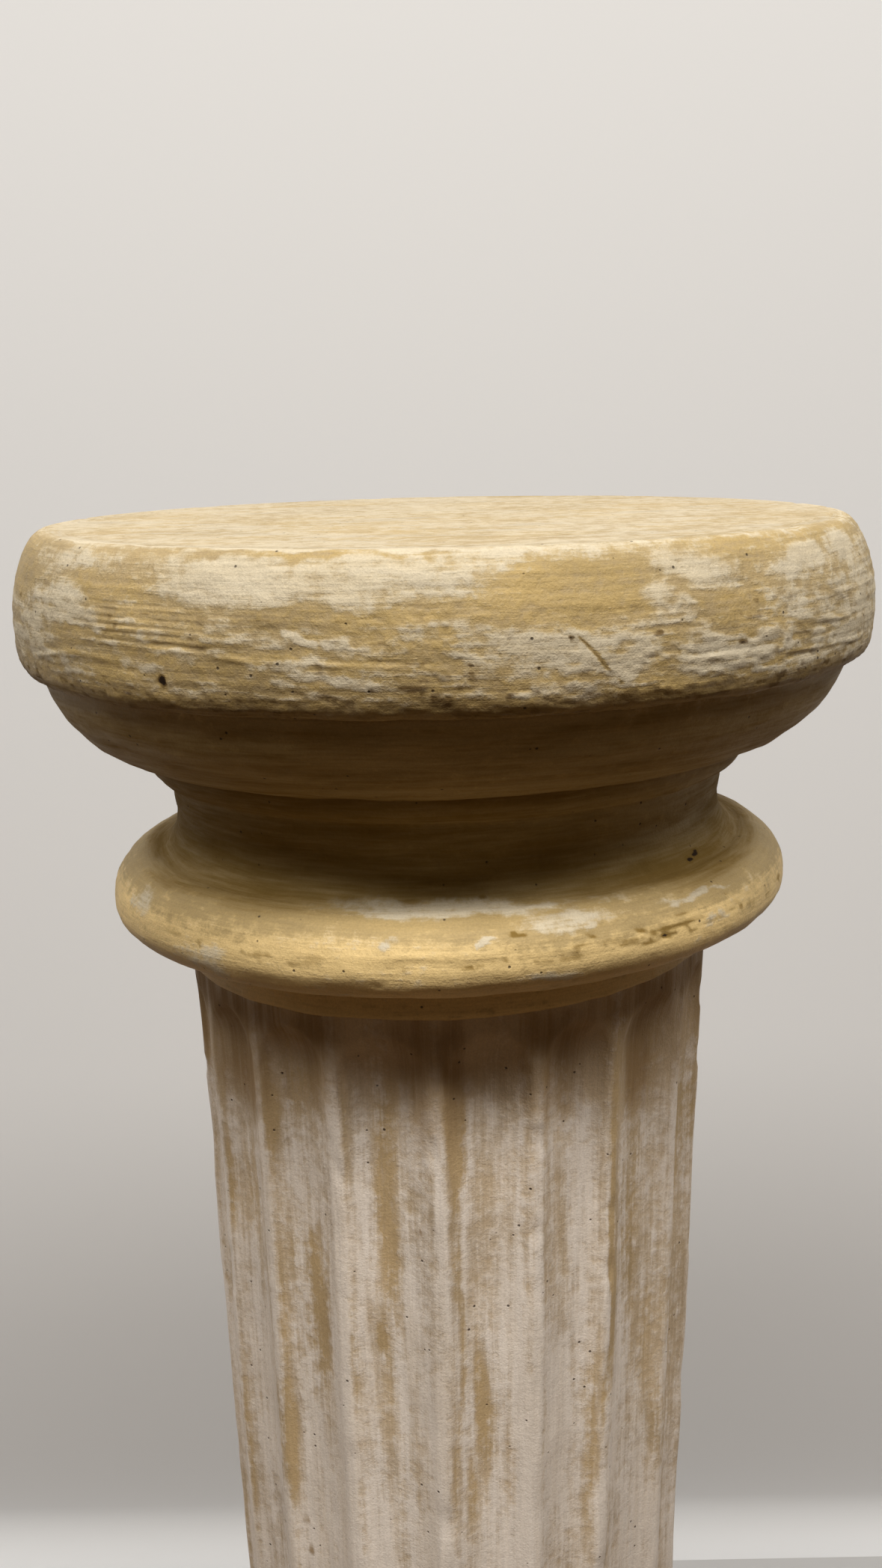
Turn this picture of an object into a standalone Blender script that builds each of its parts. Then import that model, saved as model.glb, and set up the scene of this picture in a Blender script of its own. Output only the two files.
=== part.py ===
"""Column plinth: a moulded round head, a tapering fluted shaft and a plainer round foot, cast in one piece.

Metres, +Z up. The origin is the middle of the underside, which rests on the floor.
"""
import math

import bpy

# Whole column
HEIGHT = 0.760
TURN_STEPS = 72
CAST_COLOUR = (0.62, 0.52, 0.38, 1.0)
CAST_ROUGHNESS = 0.75

# Shaft, a straight taper that narrows towards the foot
SHAFT_HEAD_RADIUS = 0.0949
SHAFT_FOOT_RADIUS = 0.0795

# Flutes: shallow hollows with ball ends, parted by narrow flat fillets
FLUTE_COUNT = 18
FLUTE_DEPTH = 0.0055
FILLET_WIDTH = 0.0042
FLUTE_HEAD_MARGIN = 0.006
FLUTE_FOOT_MARGIN = 0.006
FLUTE_CUTTER_STEPS = 32
FLUTE_BALL_POINTS = 7

# Head, named from its upper end down
SLAB_UPPER_HEIGHT = 0.0283
SLAB_LOWER_HEIGHT = 0.0181
SLAB_OVERHANG = 0.0086
SLAB_TOP_SETBACK = 0.0115
SLAB_UNDER_SETBACK = 0.0075
SLAB_UPPER_FULLNESS = 1.73
SLAB_LOWER_FULLNESS = 2.7

OVOLO_HEIGHT = 0.0302
OVOLO_PROJECTION = 0.0314
OVOLO_FULLNESS = 1.65

BEAD_HEIGHT = 0.0100
BEAD_PROJECTION = 0.0080
BEAD_STEP = 0.0018

NECK_HEIGHT = 0.0114
NECK_PROJECTION = 0.0035
NECK_SETBACK = 0.0018
NECK_FLARE_HEIGHT = 0.0145
NECK_FLARE = 0.0081

TORUS_UPPER_HEIGHT = 0.0157
TORUS_LOWER_HEIGHT = 0.0123
TORUS_PROJECTION = 0.0259
TORUS_TUCK = 0.0188

BAND_HEIGHT = 0.0110
BAND_PROJECTION = 0.0016
BAND_COVE = 0.0015

# Foot, named from its upper end down
FOOT_BAND_HEIGHT = 0.0110
FOOT_BAND_PROJECTION = 0.0035
FOOT_BAND_COVE = 0.0020
FOOT_TORUS_HEIGHT = 0.0240
FOOT_TORUS_PROJECTION = 0.0230
FOOT_TORUS_TUCK = 0.0120
FOOT_CAVETTO_HEIGHT = 0.0160
FOOT_CAVETTO_FLARE = 0.0140
FOOT_SLAB_HEIGHT = 0.0460
FOOT_SLAB_OVERHANG = 0.0245
FOOT_SLAB_TOP_SETBACK = 0.0090
FOOT_SLAB_UNDER_SETBACK = 0.0060
FOOT_SLAB_FULLNESS = 2.0


def quarter(start, end, level_first, fullness, count):
    """Points after start along a quarter of an oval, from start to end.

    It leaves start level and meets end upright when level_first is true, and the other way round
    when it is false. A fullness of 2 is an ellipse, and more is nearer a square corner.
    """
    points = []
    for index in range(1, count + 1):
        angle = math.pi / 2 * index / count
        rise = abs(math.sin(angle)) ** (2 / fullness)
        fall = abs(math.cos(angle)) ** (2 / fullness)
        if level_first:
            radius = start[0] + (end[0] - start[0]) * rise
            height = end[1] + (start[1] - end[1]) * fall
        else:
            radius = end[0] + (start[0] - end[0]) * fall
            height = start[1] + (end[1] - start[1]) * rise
        points.append((radius, height))
    return points


class Outline:
    """The turned outline, drawn from the upper end down by one moulding after another."""

    def __init__(self, radius, height):
        self.points = [(0.0, height), (radius, height)]

    @property
    def radius(self):
        return self.points[-1][0]

    @property
    def height(self):
        return self.points[-1][1]

    def straight(self, radius, drop=0.0):
        self.points.append((radius, self.height - drop))

    def curve(self, radius, drop, level_first, fullness=2.0, count=5):
        end = (radius, self.height - drop)
        self.points += quarter(self.points[-1], end, level_first, fullness, count)

    def close(self):
        self.points.append((0.0, self.height))
        return self.points


def head_radii():
    """Radii of the head's mouldings, each stepped out from the one below it."""
    band = SHAFT_HEAD_RADIUS + BAND_PROJECTION
    torus = band + TORUS_PROJECTION
    neck = SHAFT_HEAD_RADIUS + NECK_PROJECTION
    bead_under = neck + NECK_SETBACK
    bead = bead_under + BEAD_PROJECTION
    ovolo_under = bead + BEAD_STEP
    ovolo = ovolo_under + OVOLO_PROJECTION
    slab = ovolo + SLAB_OVERHANG
    return {
        "band": band,
        "torus": torus,
        "neck": neck,
        "bead_under": bead_under,
        "bead": bead,
        "ovolo_under": ovolo_under,
        "ovolo": ovolo,
        "slab": slab,
    }


def head_height():
    """Height of the head, from its band's lower edge to the top face."""
    slab = SLAB_UPPER_HEIGHT + SLAB_LOWER_HEIGHT
    neck = NECK_HEIGHT + NECK_FLARE_HEIGHT
    torus = TORUS_UPPER_HEIGHT + TORUS_LOWER_HEIGHT
    return slab + OVOLO_HEIGHT + BEAD_HEIGHT + neck + torus + BAND_HEIGHT + BAND_COVE


def foot_height():
    """Height of the foot, from the floor to its band's upper edge."""
    band = FOOT_BAND_COVE + FOOT_BAND_HEIGHT
    return FOOT_SLAB_HEIGHT + FOOT_CAVETTO_HEIGHT + FOOT_TORUS_HEIGHT + band


def draw_head(outline, radii):
    """Slab, ovolo, bead, neck, torus and band, from the top face down."""
    outline.curve(radii["slab"], SLAB_UPPER_HEIGHT, True, SLAB_UPPER_FULLNESS)
    outline.curve(radii["slab"] - SLAB_UNDER_SETBACK, SLAB_LOWER_HEIGHT, False, SLAB_LOWER_FULLNESS, 4)
    outline.straight(radii["ovolo"])
    outline.curve(radii["ovolo_under"], OVOLO_HEIGHT, False, OVOLO_FULLNESS)
    outline.straight(radii["bead"])
    outline.curve(radii["bead_under"], BEAD_HEIGHT, False, count=2)
    outline.straight(radii["neck"], NECK_HEIGHT)
    outline.curve(radii["neck"] + NECK_FLARE, NECK_FLARE_HEIGHT, False, count=3)
    outline.curve(radii["torus"], TORUS_UPPER_HEIGHT, True, count=4)
    outline.curve(radii["torus"] - TORUS_TUCK, TORUS_LOWER_HEIGHT, False, count=4)
    outline.straight(radii["band"])
    outline.straight(radii["band"], BAND_HEIGHT)
    outline.straight(SHAFT_HEAD_RADIUS, BAND_COVE)


def draw_foot(outline):
    """Band, torus, cavetto and slab, from the shaft down to the floor."""
    band = SHAFT_FOOT_RADIUS + FOOT_BAND_PROJECTION
    torus = band + FOOT_TORUS_PROJECTION
    cavetto = torus - FOOT_TORUS_TUCK
    slab = cavetto + FOOT_CAVETTO_FLARE + FOOT_SLAB_TOP_SETBACK + FOOT_SLAB_OVERHANG
    outline.straight(band, FOOT_BAND_COVE)
    outline.straight(band, FOOT_BAND_HEIGHT)
    outline.curve(torus, FOOT_TORUS_HEIGHT / 2, True, count=3)
    outline.curve(cavetto, FOOT_TORUS_HEIGHT / 2, False, count=3)
    outline.curve(cavetto + FOOT_CAVETTO_FLARE, FOOT_CAVETTO_HEIGHT, False, count=3)
    outline.straight(slab - FOOT_SLAB_TOP_SETBACK)
    outline.curve(slab, FOOT_SLAB_HEIGHT / 2, True, FOOT_SLAB_FULLNESS, 3)
    outline.curve(slab - FOOT_SLAB_UNDER_SETBACK, FOOT_SLAB_HEIGHT / 2, False, FOOT_SLAB_FULLNESS, 3)


def column_outline():
    """Half outline of the whole column, from the middle of the top face to the middle of the underside."""
    radii = head_radii()
    outline = Outline(radii["slab"] - SLAB_TOP_SETBACK, HEIGHT)
    draw_head(outline, radii)
    shaft_length = HEIGHT - head_height() - foot_height()
    outline.straight(SHAFT_FOOT_RADIUS, shaft_length)
    draw_foot(outline)
    return outline.close()


def turned(name, points, steps, collection):
    """Turn a half outline around Z into a closed round solid."""
    mesh = bpy.data.meshes.new(name)
    edges = [(index, index + 1) for index in range(len(points) - 1)]
    mesh.from_pydata([(radius, 0.0, height) for radius, height in points], edges, [])
    piece = bpy.data.objects.new(name, mesh)
    collection.objects.link(piece)
    screw = piece.modifiers.new("turn", "SCREW")
    screw.steps = steps
    screw.render_steps = steps
    screw.use_merge_vertices = True
    screw.merge_threshold = 0.00002
    screw.use_smooth_shade = True
    return piece


def shaft_radius(height):
    """Radius of the shaft's outer face at a height."""
    head_end = HEIGHT - head_height()
    foot_end = foot_height()
    share = (height - foot_end) / (head_end - foot_end)
    return SHAFT_FOOT_RADIUS + (SHAFT_HEAD_RADIUS - SHAFT_FOOT_RADIUS) * share


def flute_ratios():
    """Radius of a flute's round hollow and distance of its axis, as shares of the shaft's radius."""
    half_flute = math.pi / FLUTE_COUNT - FILLET_WIDTH / 2 / SHAFT_HEAD_RADIUS
    floor = 1 - FLUTE_DEPTH / SHAFT_HEAD_RADIUS
    chord = math.cos(half_flute)
    hollow = (1 + floor * floor - 2 * floor * chord) / (2 * (chord - floor))
    return hollow, floor + hollow


def flute_outline():
    """Half outline of a flute's cutter: a long cone with ball ends, around its own axis.

    Returns the points, with the cutter's upper ball centred at height 0, and its length.
    """
    hollow, axis = flute_ratios()
    floor = axis - hollow
    reach = math.sqrt(hollow * hollow - (axis - 1) ** 2)
    upper = (HEIGHT - head_height() - FLUTE_HEAD_MARGIN) - reach * SHAFT_HEAD_RADIUS
    lower = foot_height() + FLUTE_FOOT_MARGIN + reach * SHAFT_FOOT_RADIUS
    upper_radius = hollow * shaft_radius(upper)
    lower_radius = hollow * shaft_radius(lower)
    length = upper - lower
    points = []
    for index in range(FLUTE_BALL_POINTS + 1):
        angle = math.pi / 2 * index / FLUTE_BALL_POINTS
        points.append((upper_radius * math.sin(angle), upper_radius * math.cos(angle)))
    for index in range(FLUTE_BALL_POINTS + 1):
        angle = math.pi / 2 * index / FLUTE_BALL_POINTS
        points.append((lower_radius * math.cos(angle), -length - lower_radius * math.sin(angle)))
    points[0] = (0.0, upper_radius)
    points[-1] = (0.0, -length - lower_radius)
    return points, upper, lower, axis


def cut_flutes(column, collection):
    """Cut the ring of flutes, each by its own cutter leaning with the shaft's taper."""
    points, upper, lower, axis = flute_outline()
    out_upper = axis * shaft_radius(upper)
    out_lower = axis * shaft_radius(lower)
    lean = math.atan2(out_upper - out_lower, upper - lower)
    first = turned("flute_cutter_01", points, FLUTE_CUTTER_STEPS, collection)
    facet = math.tau / TURN_STEPS
    for index in range(FLUTE_COUNT):
        angle = math.tau * index / FLUTE_COUNT - facet / 2 + math.pi / FLUTE_COUNT - math.pi / 2
        cutter = first
        if index:
            cutter = first.copy()
            cutter.name = f"flute_cutter_{index + 1:02d}"
            collection.objects.link(cutter)
        cutter.location = (out_upper * math.cos(angle), out_upper * math.sin(angle), upper)
        cutter.rotation_euler = (0.0, lean, angle)
        cutter.hide_render = True
        cutter.display_type = "WIRE"
        cut = column.modifiers.new(f"flute_{index + 1:02d}", "BOOLEAN")
        cut.operation = "DIFFERENCE"
        cut.solver = "EXACT"
        cut.object = cutter


def cast_material():
    """Distressed ochre and off-white paint over the casting, as one even colour."""
    material = bpy.data.materials.new("painted_casting")
    material.use_nodes = True
    shader = material.node_tree.nodes["Principled BSDF"]
    shader.inputs["Base Color"].default_value = CAST_COLOUR
    shader.inputs["Roughness"].default_value = CAST_ROUGHNESS
    shader.inputs["Metallic"].default_value = 0.0
    return material


def main():
    """Build the column and its cutters in their two collections."""
    for old in list(bpy.data.objects):
        bpy.data.objects.remove(old, do_unlink=True)
    solids = bpy.data.collections.new("column_plinth")
    cutters = bpy.data.collections.new("column_plinth_cutters")
    bpy.context.scene.collection.children.link(solids)
    bpy.context.scene.collection.children.link(cutters)
    column = turned("column", column_outline(), TURN_STEPS, solids)
    column.data.materials.append(cast_material())
    cut_flutes(column, cutters)


if __name__ == "__main__":
    main()
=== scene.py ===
"""Looks of a round column plinth in distressed ochre and off-white paint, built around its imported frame.

Metres, +Z up, and -Y is the side that faces the camera. An angle on a ring is in degrees from the front,
positive towards +X. A length along the outline is in millimetres from the rim of the top face.
"""

import logging
import math
from dataclasses import dataclass
from enum import Enum

import bmesh
import bpy
import numpy as np
from mathutils import Matrix, Vector


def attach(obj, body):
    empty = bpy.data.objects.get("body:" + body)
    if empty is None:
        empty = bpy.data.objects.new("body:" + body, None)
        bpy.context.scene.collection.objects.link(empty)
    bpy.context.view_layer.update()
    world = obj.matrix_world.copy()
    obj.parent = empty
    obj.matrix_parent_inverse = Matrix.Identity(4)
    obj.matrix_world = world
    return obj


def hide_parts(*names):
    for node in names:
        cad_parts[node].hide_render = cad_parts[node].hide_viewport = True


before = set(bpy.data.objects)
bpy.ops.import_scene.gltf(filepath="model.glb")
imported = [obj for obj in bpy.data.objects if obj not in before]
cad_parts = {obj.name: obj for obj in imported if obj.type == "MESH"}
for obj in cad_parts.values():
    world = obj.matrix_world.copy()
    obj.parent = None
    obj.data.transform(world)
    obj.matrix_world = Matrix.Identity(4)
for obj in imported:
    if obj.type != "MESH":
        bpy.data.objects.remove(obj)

LOG = logging.getLogger("column")
HASH_AXES = np.array([73856093, 19349663, 83492791])
HASH_SEED = 2654435761
HASH_MIXES = ((15, 2246822519), (13, 3266489917))
HASH_LIMIT = 0xFFFFFFFF
OCHRE_BITE = 0.95
DIRT_AND_SHADE_LIMIT = 0.7
COAT_RISE = 0.10
CRUMB_PAINT = 0.9
STAIN_BITE = 0.8
Array = np.ndarray
Triple = tuple[float, float, float]
Colour = Triple
Socket = bpy.types.NodeSocket


def cell_noise(points: Array, seed: int) -> Array:
    """Give smooth noise with cells of one unit.

    Args:
        points: Places, one row each.
        seed: Number that picks the pattern.

    Returns:
        A value from -1 to 1 for each place.
    """
    cell = np.floor(points).astype(np.int64)
    part = points - cell
    fade = part * part * part * (part * (part * 6 - 15) + 10)
    total = np.zeros(len(points))
    for corner in range(8):
        step = np.array([corner & 1, corner >> 1 & 1, corner >> 2 & 1])
        key = (cell + step) @ HASH_AXES + seed * HASH_SEED
        for shift, mix in HASH_MIXES:
            key = (key ^ (key >> shift)) * mix & HASH_LIMIT
        value = ((key ^ (key >> 16)) & 0xFFFF) / 32767.5 - 1
        total += value * np.prod(np.where(step, fade, 1 - fade), axis=1)
    return total


def ease(low: float, high: float, value: Array) -> Array:
    """Rise smoothly from 0 at low to 1 at high."""
    share = np.clip((value - low) / (high - low), 0, 1)
    return share * share * (3 - 2 * share)


def hump(value: Array, centre: float, width: float) -> Array:
    """Rise to 1 at a centre, and fall to about a third at a width to either side."""
    return np.exp(-(((value - centre) / width) ** 2))


def turn_between(angle: Array, centre: float) -> Array:
    """Signed turn in degrees from a centre to each angle, the short way round."""
    return (angle - centre + 180) % 360 - 180


@dataclass(frozen=True)
class Unevenness:
    """One layer of waves that the hand or the mould left in a surface.

    Args:
        wave: Length of one wave in millimetres in each of three directions.
        height: Height of the waves in millimetres.
        seed: Number that picks the pattern.
        octaves: Number of finer and finer layers.
    """

    wave: Triple
    height: float
    seed: int
    octaves: int = 2

    def at(self, places: Array) -> Array:
        """Height in millimetres at places given in millimetres."""
        total = np.zeros(len(places))
        for octave in range(self.octaves):
            scaled = places / np.array(self.wave) * 2**octave
            total += cell_noise(scaled, self.seed + octave) * 0.5**octave
        return total * self.height


@dataclass(frozen=True)
class Dab:
    """One dab of paint, worn place or stain.

    Args:
        angle: Middle, in degrees from the front.
        along: Middle, in millimetres along the outline.
        width: Full width in degrees.
        height: Full height in millimetres.
        strength: How strong it is, and below 0 it takes away.
        slant: How far it runs down, in millimetres for each degree to the right.
    """

    angle: float
    along: float
    width: float
    height: float
    strength: float = 1.0
    slant: float = 0.0

    def at(self, angle: Array, along: Array) -> Array:
        """Strength of the dab at each place."""
        power, far = 2.6, 9
        turn = turn_between(angle, self.angle)
        across = np.minimum(np.abs(turn) / (self.width / 2), far)
        down = np.abs(along - self.along - self.slant * turn) / (self.height / 2)
        reach = (across**power + np.minimum(down, far) ** power) ** (1 / power)
        return self.strength * (1 - ease(0.3, 1.55, reach))


@dataclass(frozen=True)
class Score:
    """One scratch, groove, crack or raised run of paint.

    Args:
        start: Angle and length along the outline of one end.
        end: Angle and length along the outline of the other end.
        width: Width in millimetres.
        height: Height in millimetres, below 0 for a groove.
        stain: How much dirt lies in it.
    """

    start: tuple[float, float]
    end: tuple[float, float]
    width: float
    height: float
    stain: float = 0.0

    def at(self, angle: Array, along: Array, radius: float) -> Array:
        """Share of the score's full height at each place."""
        unit = math.radians(radius)
        place = np.stack([turn_between(angle, self.start[0]) * unit, along - self.start[1]], axis=1)
        run = np.array([(self.end[0] - self.start[0]) * unit, self.end[1] - self.start[1]])
        share = np.clip(place @ run / max(run @ run, 1e-9), 0, 1)
        gap = np.linalg.norm(place - share[:, None] * run, axis=1)
        fade = 1 - 0.5 * ease(0.5, 1.0, np.abs(2 * share - 1))
        return hump(gap, 0, self.width / 2) * fade


@dataclass(frozen=True)
class Handmade:
    """How far the rings of the hand-cast column lean from level, read at several depths."""

    depths: tuple[float, ...] = (0.0, 28.0, 46.0, 77.0, 87.0, 128.0, 153.0, 300.0)
    leans: tuple[float, ...] = (0.14, -0.15, 0.47, 0.86, 0.95, 1.06, 2.05, 0.0)
    sway: Unevenness = Unevenness((95.0, 95.0, 60.0), 0.5, 11, 2)

    def lean(self, depth: Array) -> Array:
        """Slope of the ring at each depth in millimetres below the top face."""
        return np.tan(np.radians(np.interp(depth, self.depths, self.leans)))


@dataclass(frozen=True)
class Sizes:
    """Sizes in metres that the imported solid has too, read from the top face down."""

    height: float = 0.760
    slab: float = 0.1500
    ovolo: float = 0.1414
    ovolo_under: float = 0.1100
    bead: float = 0.1082
    bead_under: float = 0.1002
    neck: float = 0.0984
    torus: float = 0.1224
    band: float = 0.0965
    shaft_head: float = 0.0949
    shaft_foot: float = 0.0795
    head_end: float = 0.607
    foot_end: float = 0.099


class Outline:
    """Half outline of a turned piece, drawn downwards by one moulding after another."""

    def __init__(self, radius: float, height: float) -> None:
        """Start at a radius and a height."""
        self.points: list[tuple[float, float]] = [(radius, height)]

    def straight(self, radius: float, drop: float = 0.0) -> "Outline":
        """Draw a straight stretch to a radius, going down by drop."""
        self.points.append((radius, self.points[-1][1] - drop))
        return self

    def curve(self, radius: float, drop: float, level_first: bool, fullness: float = 2.0) -> "Outline":
        """Draw a quarter of an oval.

        Args:
            radius: Radius at its end.
            drop: How far it goes down.
            level_first: Whether it starts level and ends upright, or the other way round.
            fullness: 2 for an ellipse, and more for a squarer corner.

        Returns:
            The outline itself.
        """
        count = 60
        start = self.points[-1]
        for index in range(1, count + 1):
            turn = math.pi / 2 * index / count
            rise = abs(math.sin(turn)) ** (2 / fullness)
            fall = abs(math.cos(turn)) ** (2 / fullness)
            out, down = (rise, 1 - fall) if level_first else (1 - fall, rise)
            self.points.append((start[0] + (radius - start[0]) * out, start[1] - drop * down))
        return self

    def rows(self, spacing: float, start: float = 0.0) -> Array:
        """Space the outline evenly.

        Args:
            spacing: Distance between rows in millimetres.
            start: Length along the outline, in millimetres, at its first point.

        Returns:
            A row of radius, height and length along the outline for each point.
        """
        points = np.array(self.points)
        length = np.concatenate([[0], np.cumsum(np.hypot(*np.diff(points, axis=0).T))])
        count = max(2, int(round(length[-1] * 1000 / spacing)) + 1)
        even = np.linspace(0, length[-1], count)
        radius, height = (np.interp(even, length, column) for column in points.T)
        return np.stack([radius, height, even * 1000 + start], axis=1)


class Stroke(Enum):
    """Which way the brush went on a piece."""

    ROUND = "round the ring"
    DOWN = "down the shaft"


class Skin:
    """Vertices of a turned piece, told by angle, radius and length along the outline."""

    def __init__(self, mesh: bpy.types.Mesh, gather: float) -> None:
        """Read a mesh, gather its columns towards the front and start with no relief."""
        self.mesh = mesh
        self.places = self.read(mesh.vertices, "co", 3)
        self.along = self.read(mesh.attributes["along"].data, "value")
        self.radius = self.read(mesh.attributes["out"].data, "value")
        turn = np.arctan2(self.places[:, 0], -self.places[:, 1])
        turn -= gather * np.sin(turn)
        self.angle = np.degrees(turn)
        self.places[:, 0] = self.radius * np.sin(turn)
        self.places[:, 1] = -self.radius * np.cos(turn)
        self.depth = (Sizes.height - self.places[:, 2]) * 1000
        self.write()
        self.normals = self.read(mesh.vertices, "normal", 3)
        self.shift = np.zeros(len(self.places))

    @staticmethod
    def read(items: object, key: str, width: int = 1) -> Array:
        """Read a number or a vector for each vertex."""
        values = np.empty(len(items) * width)
        items.foreach_get(key, values)
        return values if width == 1 else values.reshape(-1, width)

    @property
    def millimetres(self) -> Array:
        """Places in millimetres."""
        return self.places * 1000

    @property
    def ribbon(self) -> Array:
        """Places across and along the outline in millimetres, for marks that follow the ring."""
        return np.column_stack([self.places[:, :2] * 1000, self.along])

    def patches(self, cells: Triple, seed: int) -> Array:
        """Smooth noise from -1 to 1 that follows the ring, with cells in millimetres."""
        return cell_noise(self.ribbon / np.array(cells), seed)

    def waves(self, wave: Triple, height: float, seed: int, octaves: int = 2) -> Array:
        """Unevenness that follows the ring, with its waves and height in millimetres."""
        return Unevenness(wave, height, seed, octaves).at(self.ribbon)

    def write(self) -> None:
        """Put the places into the mesh."""
        self.mesh.vertices.foreach_set("co", self.places.astype(np.float32).ravel())
        self.mesh.update()

    def settle(self, hand: Handmade) -> None:
        """Apply the relief and the hand's sway and lean, and write the mesh."""
        above = Sizes.height * 1000 - self.depth
        sway = hand.sway.at(self.millimetres) * ease(2, 14, self.depth) * ease(2, 14, above)
        lean = hand.lean(self.depth) * self.places[:, 0]
        self.places += self.normals * (self.shift * 0.001)[:, None]
        out = np.maximum(self.radius, 1e-6)
        self.places[:, :2] *= (1 + sway * 0.001 / out * ease(0.02, 0.06, self.radius))[:, None]
        self.places[:, 2] += lean
        self.write()

    def keep(self, name: str, values: Array) -> None:
        """Keep a vector for each vertex under a name that materials read."""
        layer = self.mesh.attributes.new(name, "FLOAT_VECTOR", "POINT")
        layer.data.foreach_set("vector", values.astype(np.float32).ravel())


def turned(name: str, rows: Array, steps: int, cuts: int) -> bpy.types.Mesh:
    """Spin a half outline round Z into a closed mesh.

    Args:
        name: Name of the mesh.
        rows: Radius, height and length along the outline of each point, from axis to axis.
        steps: Number of turns of the spin.
        cuts: Number of columns that each turn is then cut into.

    Returns:
        The mesh, with the radius and the length along the outline kept for each vertex.
    """
    shape = bmesh.new()
    along = shape.verts.layers.float.new("along")
    out = shape.verts.layers.float.new("out")
    last = None
    for radius, height, length in rows:
        vertex = shape.verts.new((0.0, -radius, height))
        vertex[along] = length
        vertex[out] = radius
        if last is not None:
            shape.edges.new((last, vertex))
        last = vertex
    bmesh.ops.spin(
        shape,
        geom=shape.verts[:] + shape.edges[:],
        cent=(0, 0, 0),
        axis=(0, 0, 1),
        angle=math.tau,
        steps=steps,
        use_merge=True,
    )
    bmesh.ops.remove_doubles(shape, verts=shape.verts[:], dist=0.000002)
    rings = []
    for edge in shape.edges:
        first, second = edge.verts
        if max(abs(first.co.z - second.co.z), abs(first[out] - second[out])) < 1e-7:
            rings.append(edge)
    bmesh.ops.subdivide_edges(shape, edges=rings, cuts=cuts - 1, use_grid_fill=True)
    bmesh.ops.recalc_face_normals(shape, faces=shape.faces[:])
    for face in shape.faces:
        face.smooth = True
    mesh = bpy.data.meshes.new(name)
    shape.to_mesh(mesh)
    shape.free()
    return mesh


def placed(name: str, data: bpy.types.ID) -> bpy.types.Object:
    """Put a mesh, a light or a camera into the scene as an object."""
    thing = bpy.data.objects.new(name, data)
    bpy.context.scene.collection.objects.link(thing)
    return thing


class Graph:
    """A node tree with short ways to add nodes."""

    def __init__(self, tree: bpy.types.NodeTree) -> None:
        """Take a tree to fill."""
        self.tree = tree

    def add(self, kind: str, inputs: dict | None = None, **settings: object) -> bpy.types.Node:
        """Add a node.

        Args:
            kind: Type of the node without its ShaderNode prefix.
            inputs: Values or sockets for its inputs, by name or number.
            settings: Properties of the node.

        Returns:
            The node.
        """
        node = self.tree.nodes.new("ShaderNode" + kind)
        for key, value in settings.items():
            setattr(node, key, value)
        for key, value in (inputs or {}).items():
            socket = node.inputs[key]
            if isinstance(value, Socket):
                self.tree.links.new(value, socket)
            else:
                socket.default_value = value
        return node

    def math(self, operation: str, *values: object) -> Socket:
        """Add a Math node and give its output."""
        return self.add("Math", dict(enumerate(values)), operation=operation).outputs[0]

    def vector(self, operation: str, first: object, second: object) -> Socket:
        """Add a Vector Math node and give its vector."""
        key = "Scale" if operation == "SCALE" else 1
        return self.add("VectorMath", {0: first, key: second}, operation=operation).outputs[0]

    def blend(self, share: object, first: object, second: object) -> Socket:
        """Mix two colours and give the result."""
        return self.add("Mix", {0: share, 6: first, 7: second}, data_type="RGBA").outputs[2]

    def noise(self, vector: object, scale: float, detail: float, rough: float = 0.5) -> Socket:
        """Add a Noise Texture and give its value."""
        inputs = {"Vector": vector, "Scale": scale, "Detail": detail, "Roughness": rough}
        return self.add("TexNoise", inputs).outputs["Fac"]

    def span(self, value: object, low: object, high: object) -> Socket:
        """Rise smoothly from 0 at low to 1 at high."""
        inputs = {"Value": value, "From Min": low, "From Max": high}
        return self.add("MapRange", inputs, interpolation_type="SMOOTHSTEP").outputs[0]

    def remap(self, value: object, given: tuple[float, float], wanted: tuple[float, float]) -> Socket:
        """Carry a value evenly from one range to another, and hold it at the ends."""
        keys = ("From Min", "From Max", "To Min", "To Max")
        return self.add("MapRange", {"Value": value, **dict(zip(keys, given + wanted))}).outputs[0]

    def total(self, *parts: tuple[object, object]) -> Socket:
        """Add up values, each times its share."""
        result = None
        for value, share in parts:
            part = self.math("MULTIPLY", value, share)
            result = part if result is None else self.math("ADD", result, part)
        return result

    def link(self, value: Socket, end: Socket) -> None:
        """Join an output to an input."""
        self.tree.links.new(value, end)


def new_group(
    name: str, vectors: tuple[str, ...], numbers: tuple[str, ...], outputs: tuple[str, ...]
) -> tuple[Graph, bpy.types.bpy_prop_collection, bpy.types.bpy_prop_collection]:
    """Start a shader node group.

    Args:
        name: Name of the group.
        vectors: Names of its inputs that are vectors.
        numbers: Names of its inputs that are numbers.
        outputs: Names of its outputs, all of them numbers.

    Returns:
        Its graph, its input sockets and its output sockets.
    """
    tree = bpy.data.node_groups.new(name, "ShaderNodeTree")
    for key in vectors + numbers:
        kind = "NodeSocketVector" if key in vectors else "NodeSocketFloat"
        tree.interface.new_socket(key, in_out="INPUT", socket_type=kind)
    for key in outputs:
        tree.interface.new_socket(key, in_out="OUTPUT", socket_type="NodeSocketFloat")
    start = tree.nodes.new("NodeGroupInput")
    end = tree.nodes.new("NodeGroupOutput")
    return Graph(tree), start.outputs, end.inputs


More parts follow.
